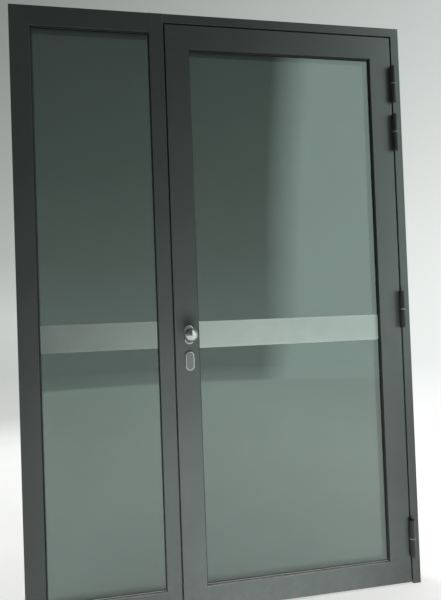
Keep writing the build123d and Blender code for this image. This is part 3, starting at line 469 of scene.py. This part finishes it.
# Spacer: a dark hollow bar of coated steel, bent round and glued between the panes. Its face towards the
# cavity is perforated over the drying grains.
spacer_coat, tree, shader = blank_material("spacer_coat")
shader.inputs["Metallic"].default_value = 0.6
holes = tree.nodes.new("ShaderNodeTexVoronoi")
holes.inputs["Scale"].default_value = 190.0
holes.inputs["Randomness"].default_value = 0.0
spacer_place = tree.nodes.new("ShaderNodeTexCoord")
link(tree, spacer_place.outputs["Object"], holes.inputs["Vector"])
pierced = span(tree, holes.outputs["Distance"], 0.12, 0.18)
link(
    tree,
    blend_colours(tree, pierced, (0.004, 0.004, 0.004), (0.035, 0.037, 0.036)),
    shader.inputs["Base Color"],
)
shader.inputs["Roughness"].default_value = 0.45
link(tree, bump(tree, pierced, 0.0003), shader.inputs["Normal"])
dress(spacer_coat, "sidelight_spacer", "leaf_spacer")


# Warning bands: pale grey-green frosted vinyl film, cut a little short of the frame and stuck on each
# outer pane at waist height. The cut edge is a little brighter. The band in the sidelight is given a
# darker colour than the one in the leaf, as painted shade on the left.
def frosted_film(name, node, colour):
    """Frosted film over one node's rectangle, paler along its cut edge."""
    material, tree, shader = blank_material(name)
    low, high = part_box(node)
    plain_from = 0.0022
    bright_to = 0.0012
    rim = None
    for axis, start, stop in (("X", low.x, high.x), ("Z", low.z, high.z)):
        for edge, inward in ((start, 1), (stop, -1)):
            plain = edge + inward * plain_from
            bright = edge + inward * bright_to
            close = span(tree, axis_of(tree, axis), plain, bright)
            rim = close if rim is None else combine(tree, "MAXIMUM", rim, close)
    r, g, b = colour
    mottle = value_ramp(
        tree,
        noise(tree, 14.0, 5.0, 0.6),
        [(0.3, (r * 0.94, g * 0.94, b * 0.94)), (0.7, (r * 1.05, g * 1.05, b * 1.05))],
    )
    link(
        tree,
        blend_colours(tree, rim, mottle, (r * 1.35, g * 1.35, b * 1.35)),
        shader.inputs["Base Color"],
    )
    shader.inputs["Roughness"].default_value = 0.55
    shader.inputs["Transmission Weight"].default_value = 0.4
    link(tree, bump(tree, noise(tree, 1500.0, 2.0), 0.00004), shader.inputs["Normal"])
    dress(material, node)


# The sidelight's band is darker than the leaf's: painted shade, the film itself being the same.
frosted_film("sidelight_frost_shaded", "sidelight_film", (0.41, 0.475, 0.445))
frosted_film("leaf_frost", "leaf_film", (0.575, 0.66, 0.62))

# Setting blocks: hard black moulded plastic pads, laid in the rebate under and beside the edge of the
# glass. They carry the pane and keep it off the metal.
pad_plastic, tree, shader = blank_material("pad_plastic")
link(
    tree,
    value_ramp(
        tree, noise(tree, 120.0, 4.0), [(0.35, (0.014, 0.014, 0.015)), (0.7, (0.028, 0.028, 0.03))]
    ),
    shader.inputs["Base Color"],
)
shader.inputs["Roughness"].default_value = 0.5
link(tree, bump(tree, noise(tree, 500.0, 2.0), 0.00008), shader.inputs["Normal"])
dress(pad_plastic, "sidelight_setting_blocks", "leaf_setting_blocks")

# Glazing gaskets: black rubber profiles pressed between lip and glass outdoors and between bead and
# glass in the room, mitred at the corners. A soft nose closes the joint against each pane.
rubber, tree, shader = blank_material("rubber")
bloom = noise(tree, 60.0, 5.0, 0.6)
black = value_ramp(tree, bloom, [(0.35, (0.008, 0.009, 0.009)), (0.75, (0.022, 0.023, 0.023))])
# Low down, faces that look up are painted pale, partly as dust and partly as painted light from above.
link(tree, dust_and_top_light(tree, black, 0.1, 0.9), shader.inputs["Base Color"])
link(tree, span(tree, bloom, 0.3, 0.7, 0.42, 0.6), shader.inputs["Roughness"])
link(tree, bump(tree, noise(tree, 900.0, 2.0), 0.00005), shader.inputs["Normal"])


def add_mesh(name, shape, material, body, smooth=False):
    """Finishes a bmesh as a piece that rides on a body."""
    bmesh.ops.recalc_face_normals(shape, faces=shape.faces)
    mesh = bpy.data.meshes.new(name)
    shape.to_mesh(mesh)
    shape.free()
    mesh.materials.append(material)
    piece = bpy.data.objects.new(name, mesh)
    scene.collection.objects.link(piece)
    if smooth:
        mesh.shade_smooth()
        mesh.set_sharp_from_angle(angle=math.radians(38))
    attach(piece, body)
    return piece


def run_round(shape, rect, section, closed=True):
    """Sweeps a section round a rectangle x0, x1, z0, z1. A section point is (inset, depth) in mm, inset
    measured inward from the rectangle. An open run goes up one side, across the top and down."""
    x0, x1, z0, z1 = rect
    rings = []
    for corner in range(4):
        ring = []
        for inset, depth in section:
            s = inset / 1000
            y = depth / 1000
            x = x0 + s if corner in (0, 1) else x1 - s
            z = z1 - s if corner in (1, 2) else (z0 + s if closed else z0)
            ring.append(shape.verts.new((x, y, z)))
        rings.append(ring)
    count = len(section)
    pairs = [(0, 1), (1, 2), (2, 3)] + ([(3, 0)] if closed else [])
    for a, b in pairs:
        for i in range(count):
            j = (i + 1) % count
            shape.faces.new((rings[a][i], rings[b][i], rings[b][j], rings[a][j]))
    return rings


outer_gasket_section = [
    (-8.5, -27.5),
    (-6.4, -27.5),
    (-6.2, -28.4),
    (-6.5, -29.2),
    (-5.6, -30.3),
    (-4.4, -30.3),
    (-3.5, -29.2),
    (-3.8, -28.4),
    (-3.6, -27.5),
    (-0.2, -27.5),
    (0.6, -28.1),
    (1.8, -28.2),
    (2.9, -27.6),
    (3.7, -26.6),
    (4.0, -25.4),
    (3.8, -24.4),
    (3.2, -23.7),
    (2.5, -23.52),
    (-8.5, -23.52),
]
inner_gasket_section = [
    (-8.5, 4.52),
    (2.5, 4.52),
    (3.3, 4.8),
    (3.9, 5.6),
    (4.0, 6.6),
    (3.5, 7.7),
    (2.5, 8.5),
    (1.2, 9.0),
    (0.3, 8.9),
    (-0.2, 8.5),
    (-8.5, 8.5),
]
gasket_cover = 0.0085
for light, body in (("sidelight", "frame"), ("leaf", "leaf")):
    low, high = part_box(f"{light}_inner_gasket")
    clear = (
        low.x + gasket_cover,
        high.x - gasket_cover,
        low.z + gasket_cover,
        high.z - gasket_cover,
    )
    for side, section in (("outer", outer_gasket_section), ("inner", inner_gasket_section)):
        shape = bmesh.new()
        run_round(shape, clear, section)
        gasket = add_mesh(f"{light}_{side}_glazing_gasket", shape, rubber, body, True)
        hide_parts(f"{light}_{side}_gasket")

# Rebate seal: a hollow rubber bulb on a barbed foot, round both sides and the top of the leaf's lip. It
# meets the frame's stop when the leaf closes.
seal_low, seal_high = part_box("rebate_seal")
seal_inset = 0.003
seal_rect = (
    seal_low.x - seal_inset,
    seal_high.x + seal_inset,
    seal_low.z,
    seal_high.z + seal_inset,
)
seal_middle = 7
bulb_foot = -12.3
bulb_half_width = 3.7
bulb_height = 4.4
bulb = [
    (
        seal_middle + bulb_half_width * math.cos(math.radians(angle)),
        bulb_foot + bulb_height * math.sin(math.radians(angle)),
    )
    for angle in range(0, 181, 15)
]
bulb_section = [(10.8, -12.5)] + bulb + [
    (3.2, -12.5),
    (5.6, -12.5),
    (5.7, -13.3),
    (5.4, -13.9),
    (6.1, -14.9),
    (7.9, -14.9),
    (8.6, -13.9),
    (8.3, -13.3),
    (8.4, -12.5),
]
bore_middle = -10.9
bore_half_width = 2.5
bore_section = []
for angle in range(0, 360, 20):
    bore_height = 2.2 if angle < 180 else 0.9
    turn = math.radians(angle)
    bore_section.append(
        (seal_middle + bore_half_width * math.cos(turn), bore_middle + bore_height * math.sin(turn))
    )
shape = bmesh.new()
outside = run_round(shape, seal_rect, bulb_section, closed=False)
inside = run_round(shape, seal_rect, bore_section, closed=False)
for end in (0, 3):
    rim_edges = []
    for ring in (outside[end], inside[end]):
        for i, vertex in enumerate(ring):
            follower = ring[(i + 1) % len(ring)]
            rim_edges.append(shape.edges.get((vertex, follower)))
    bmesh.ops.triangle_fill(shape, edges=rim_edges, use_beauty=True)
rebate_bulb = add_mesh("rebate_bulb_seal", shape, rubber, "leaf", True)
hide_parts("rebate_seal")

# Bottom seal: a bare extruded aluminium carrier pushed into the leaf's bottom rebate, and a ribbed rubber
# blade clipped into it, which ends just clear of the floor.
mill_alloy, tree, shader = blank_material("mill_alloy")
shader.inputs["Metallic"].default_value = 1.0
drawn = noise(tree, 500.0, 3.0, 0.5, (0.01, 1.0, 1.0))
link(
    tree,
    value_ramp(tree, drawn, [(0.3, (0.52, 0.53, 0.54)), (0.7, (0.66, 0.67, 0.68))]),
    shader.inputs["Base Color"],
)
link(tree, span(tree, drawn, 0.3, 0.7, 0.3, 0.48), shader.inputs["Roughness"])
link(tree, bump(tree, drawn, 0.00006), shader.inputs["Normal"])
carrier_low, carrier_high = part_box("bottom_seal")


def along_x(shape, section, x0, x1):
    """Straight extrusion along X of a section of (depth, height) points in millimetres."""
    ends = [
        [shape.verts.new((x, depth / 1000, height / 1000)) for depth, height in section] for x in (x0, x1)
    ]
    for i in range(len(section)):
        j = (i + 1) % len(section)
        shape.faces.new((ends[0][i], ends[0][j], ends[1][j], ends[1][i]))
    shape.faces.new(ends[0])
    shape.faces.new(ends[1])


carrier_section = [
    (-12.5, 8.0),
    (-12.5, 25.9),
    (1.5, 25.9),
    (1.5, 8.0),
    (-2.6, 8.0),
    (-2.6, 10.0),
    (-0.5, 10.0),
    (-0.5, 24.0),
    (-10.5, 24.0),
    (-10.5, 10.0),
    (-8.4, 10.0),
    (-8.4, 8.0),
]
blade_section = [
    (-8.2, 10.4),
    (-9.6, 11.2),
    (-9.6, 13.6),
    (-1.4, 13.6),
    (-1.4, 11.2),
    (-2.8, 10.4),
    (-3.5, 8.2),
    (-4.2, 7.4),
    (-3.5, 6.6),
    (-4.3, 5.8),
    (-3.6, 5.0),
    (-4.4, 4.2),
    (-3.9, 1.3),
    (-4.6, 1.0),
    (-6.4, 1.0),
    (-7.1, 1.3),
    (-6.6, 4.2),
    (-7.4, 5.0),
    (-6.7, 5.8),
    (-7.5, 6.6),
    (-6.8, 7.4),
    (-7.5, 8.2),
]
shape = bmesh.new()
along_x(shape, carrier_section, carrier_low.x, carrier_high.x)
seal_carrier = add_mesh("bottom_seal_carrier", shape, mill_alloy, "leaf")
shape = bmesh.new()
along_x(shape, blade_section, carrier_low.x + 0.001, carrier_high.x - 0.001)
seal_blade = add_mesh("bottom_seal_blade", shape, rubber, "leaf", True)
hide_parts("bottom_seal")
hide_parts("bottom_seal")

# Barrel hinges: cast knuckles on a ground steel pin, with a grey nylon bearing ring between them. The
# knuckles' dark grey coat is painted almost black as painted shade on the barrels, and paler along
# their edges as a painted highlight. Each knuckle's wing is held by three screws.
shaded_hinge_coat, tree, shader = blank_material("shaded_hinge_coat")
cloud = noise(tree, 40.0, 4.0)
# Near black: painted shade over the knuckles' dark grey coat.
tone = value_ramp(tree, cloud, [(0.3, (0.013, 0.015, 0.015)), (0.7, (0.021, 0.024, 0.023))])
# Paler edges: a painted highlight on the barrels' rounded ends and arrises.
link(
    tree,
    blend_colours(tree, edge_mask(tree, 0.001), tone, (0.12, 0.13, 0.128)),
    shader.inputs["Base Color"],
)
link(tree, span(tree, cloud, 0.3, 0.7, 0.28, 0.38), shader.inputs["Roughness"])
link(tree, bump(tree, noise(tree, 700.0, 3.0), 0.00005), shader.inputs["Normal"])
for number in (1, 2, 3, 4):
    dress(shaded_hinge_coat, f"hinge_{number}_frame_knuckle", f"hinge_{number}_leaf_knuckle")

pin_steel, tree, shader = blank_material("pin_steel")
shader.inputs["Metallic"].default_value = 1.0
ground = noise(tree, 800.0, 2.0, 0.5, (1.0, 1.0, 0.02))
link(
    tree,
    value_ramp(tree, ground, [(0.3, (0.46, 0.46, 0.46)), (0.7, (0.62, 0.62, 0.61))]),
    shader.inputs["Base Color"],
)
link(tree, span(tree, ground, 0.3, 0.7, 0.16, 0.3), shader.inputs["Roughness"])
dress(pin_steel, "hinge_pins")

ring_nylon, tree, shader = blank_material("ring_nylon")
link(
    tree,
    value_ramp(
        tree, noise(tree, 90.0, 4.0), [(0.3, (0.20, 0.21, 0.205)), (0.7, (0.27, 0.28, 0.275))]
    ),
    shader.inputs["Base Color"],
)
shader.inputs["Roughness"].default_value = 0.22
link(tree, bump(tree, noise(tree, 600.0, 2.0), 0.00003), shader.inputs["Normal"])
dress(ring_nylon, "hinge_rings")

screw_steel, tree, shader = blank_material("screw_steel")
shader.inputs["Metallic"].default_value = 1.0
turned = noise(tree, 1600.0, 2.0)
link(
    tree,
    value_ramp(tree, turned, [(0.3, (0.44, 0.44, 0.43)), (0.7, (0.60, 0.60, 0.58))]),
    shader.inputs["Base Color"],
)
link(tree, span(tree, turned, 0.3, 0.7, 0.24, 0.4), shader.inputs["Roughness"])

black_screw, tree, shader = blank_material("black_screw")
shader.inputs["Metallic"].default_value = 0.7
link(
    tree,
    value_ramp(
        tree, noise(tree, 1300.0, 2.0), [(0.3, (0.015, 0.016, 0.016)), (0.7, (0.04, 0.042, 0.04))]
    ),
    shader.inputs["Base Color"],
)
shader.inputs["Roughness"].default_value = 0.35


def screw_head(shape, centre, outward, radius, proud, segments=36):
    """Low screw head with a six-lobed socket, standing on a surface at a point."""
    turn = Vector(outward).to_track_quat("Z", "Y").to_matrix()
    lobe_depth = 0.16

    def ring(size, height, lobes):
        points = []
        for i in range(segments):
            angle = 2 * math.pi * i / segments
            r = size * (1 + (lobe_depth * math.cos(6 * angle) if lobes else 0))
            local = Vector((r * math.cos(angle), r * math.sin(angle), height))
            points.append(shape.verts.new(Vector(centre) + turn @ local))
        return points

    rings = [
        ring(radius, -0.0001, False),
        ring(radius, proud * 0.35, False),
        ring(radius * 0.93, proud * 0.75, False),
        ring(radius * 0.78, proud, False),
        ring(radius * 0.48, proud, True),
        ring(radius * 0.44, proud * 0.25, True),
    ]
    for a, b in zip(rings, rings[1:]):
        for i in range(segments):
            j = (i + 1) % segments
            shape.faces.new((a[i], a[j], b[j], b[i]))
    shape.faces.new(rings[-1])
    shape.faces.new(rings[0])


screw_radius = 0.0042
screw_proud = 0.0009
wing_middle = -0.026
for body, half, face_side, wing_face in (
    ("leaf", "leaf_knuckle", 1, 0.6902),
    ("frame", "frame_knuckle", -1, 0.6898),
):
    shape = bmesh.new()
    for number in (1, 2, 3, 4):
        low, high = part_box(f"hinge_{number}_{half}")
        for share in (0.22, 0.5, 0.78):
            height = low.z + (high.z - low.z) * share
            screw_head(
                shape, (wing_face, wing_middle, height), (face_side, 0, 0), screw_radius, screw_proud
            )
    add_mesh(f"{body}_hinge_screws", shape, black_screw, body, True)


# Roses, escutcheons, knob and lever: stainless steel, screwed through the stile. The plates are pressed
# and brushed upright, with a duller sunk floor. The ball and the lever are turned and lightly polished.
def stainless(name, colour, rough_low, rough_high, stretch, scratch):
    """Stainless steel with fine grinding lines along the axis that is stretched."""
    material, tree, shader = blank_material(name)
    shader.inputs["Metallic"].default_value = 1.0
    lines = noise(tree, 1400.0, 3.0, 0.6, stretch)
    r, g, b = colour
    link(
        tree,
        value_ramp(
            tree, lines, [(0.3, (r * 0.88, g * 0.88, b * 0.88)), (0.7, (r, g, b))]
        ),
        shader.inputs["Base Color"],
    )
    marks = noise(tree, 24.0, 5.0, 0.6)
    link(tree, span(tree, marks, 0.3, 0.75, rough_low, rough_high), shader.inputs["Roughness"])
    link(tree, bump(tree, lines, scratch), shader.inputs["Normal"])
    return material


plate_steel = stainless("plate_steel", (0.84, 0.86, 0.83), 0.16, 0.24, (1.0, 1.0, 0.03), 0.00004)
rim_depth = 0.0452
sunk_depth = 0.0449
plate_tree = plate_steel.node_tree
plate_shader = plate_tree.nodes["Principled BSDF"]
depth_from_middle = plate_tree.nodes.new("ShaderNodeMath")
depth_from_middle.operation = "ABSOLUTE"
link(plate_tree, axis_of(plate_tree, "Y"), depth_from_middle.inputs[0])
below_rim = span(plate_tree, depth_from_middle.outputs[0], rim_depth, sunk_depth)
plate_facing = plate_tree.nodes.new("ShaderNodeNewGeometry")
plate_axes = plate_tree.nodes.new("ShaderNodeSeparateXYZ")
link(plate_tree, plate_facing.outputs["True Normal"], plate_axes.inputs[0])
facing_out = plate_tree.nodes.new("ShaderNodeMath")
facing_out.operation = "ABSOLUTE"
link(plate_tree, plate_axes.outputs["Y"], facing_out.inputs[0])
flat_face = span(plate_tree, facing_out.outputs[0], 0.8, 0.95)
sunk_floor = combine(plate_tree, "MULTIPLY", below_rim, flat_face)
for socket, dull in (("Base Color", (0.30, 0.33, 0.31)), ("Roughness", (0.42, 0.42, 0.42))):
    rim_finish = plate_shader.inputs[socket].links[0].from_socket
    link(
        plate_tree,
        blend_colours(plate_tree, sunk_floor, rim_finish, dull),
        plate_shader.inputs[socket],
    )
ball_steel = stainless("ball_steel", (0.70, 0.70, 0.68), 0.12, 0.2, (1.0, 0.05, 1.0), 0.00001)
lever_steel = stainless("lever_steel", (0.64, 0.64, 0.62), 0.2, 0.3, (0.04, 1.0, 1.0), 0.00003)
dress(plate_steel, "knob_rose", "outer_escutcheon", "lever_rose", "inner_escutcheon")
dress(ball_steel, "knob")
dress(lever_steel, "lever", "thumb_turn")

grub_place = (-0.14, 0.0565, 0.98052)
grub_radius = 0.0024
grub_proud = 0.0003
shape = bmesh.new()
screw_head(shape, grub_place, (0, 0, -1), grub_radius, grub_proud, 24)
add_mesh("lever_grub_screw", shape, black_screw, "handle", True)

# Cylinder and lock: nickel-plated brass barrel with a turned collar round the thumb turn's shaft. The
# square spindle, the follower that it turns and both pressed cases are zinc-plated steel.
nickel, tree, shader = blank_material("nickel")
shader.inputs["Metallic"].default_value = 1.0
polish = noise(tree, 1100.0, 2.0)
link(
    tree,
    value_ramp(tree, polish, [(0.3, (0.56, 0.54, 0.49)), (0.7, (0.68, 0.66, 0.60))]),
    shader.inputs["Base Color"],
)
link(tree, span(tree, polish, 0.3, 0.7, 0.2, 0.34), shader.inputs["Roughness"])
dress(nickel, "lock_cylinder")


def lathe(shape, centre, outward, profile):
    """Turned ring: profile is a closed list of (radius, height) in millimetres."""
    turn = Vector(outward).to_track_quat("Z", "Y").to_matrix()
    segments = 48
    rings = []
    for radius, height in profile:
        ring = []
        for i in range(segments):
            angle = 2 * math.pi * i / segments
            local = Vector((radius * math.cos(angle), radius * math.sin(angle), height)) / 1000
            ring.append(shape.verts.new(Vector(centre) + turn @ local))
        rings.append(ring)
    for a, b in zip(rings, rings[1:] + rings[:1]):
        for i in range(segments):
            j = (i + 1) % segments
            shape.faces.new((a[i], a[j], b[j], b[i]))


collar_place = (-0.14, 0.0435, 0.896)
collar_profile = [(4.3, 0.0), (7.2, 0.0), (7.2, 0.9), (6.7, 1.5), (4.8, 1.5), (4.3, 1.1)]
shape = bmesh.new()
lathe(shape, collar_place, (0, 1, 0), collar_profile)
add_mesh("cylinder_collar", shape, nickel, "leaf", True)

zinc, tree, shader = blank_material("zinc")
shader.inputs["Metallic"].default_value = 1.0
spangle = noise(tree, 220.0, 4.0, 0.6)
link(
    tree,
    value_ramp(tree, spangle, [(0.3, (0.46, 0.47, 0.47)), (0.7, (0.62, 0.63, 0.62))]),
    shader.inputs["Base Color"],
)
link(tree, span(tree, spangle, 0.3, 0.7, 0.32, 0.5), shader.inputs["Roughness"])
link(tree, bump(tree, spangle, 0.00004), shader.inputs["Normal"])
dress(zinc, "lock_case", "lock_follower", "spindle", "strike_case")

# Lock faceplate and strike plate: brushed stainless strips let into the stile and the mullion's stop,
# each held by countersunk screws. The bolts and the keeper are ground steel.
strip_steel = stainless("strip_steel", (0.60, 0.60, 0.58), 0.24, 0.34, (1.0, 1.0, 0.02), 0.00004)
bolt_steel = stainless("bolt_steel", (0.58, 0.58, 0.56), 0.2, 0.34, (0.03, 1.0, 1.0), 0.00005)
dress(strip_steel, "lock_faceplate", "strike_plate")
dress(bolt_steel, "latch_bolt", "deadbolt", "strike_keeper")
screw_from_end = 0.011
strip_screw_radius = 0.0043
strip_screw_proud = 0.0008
for body, node, side, depth in (
    ("leaf", "lock_faceplate", -1, 0.012),
    ("frame", "strike_plate", 1, 0.009),
):
    low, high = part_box(node)
    shape = bmesh.new()
    face = low.x if side < 0 else high.x
    for height in (low.z + screw_from_end, high.z - screw_from_end):
        screw_head(
            shape, (face, depth, height), (side, 0, 0), strip_screw_radius, strip_screw_proud
        )
    add_mesh(f"{node}_screws", shape, screw_steel, body, True)
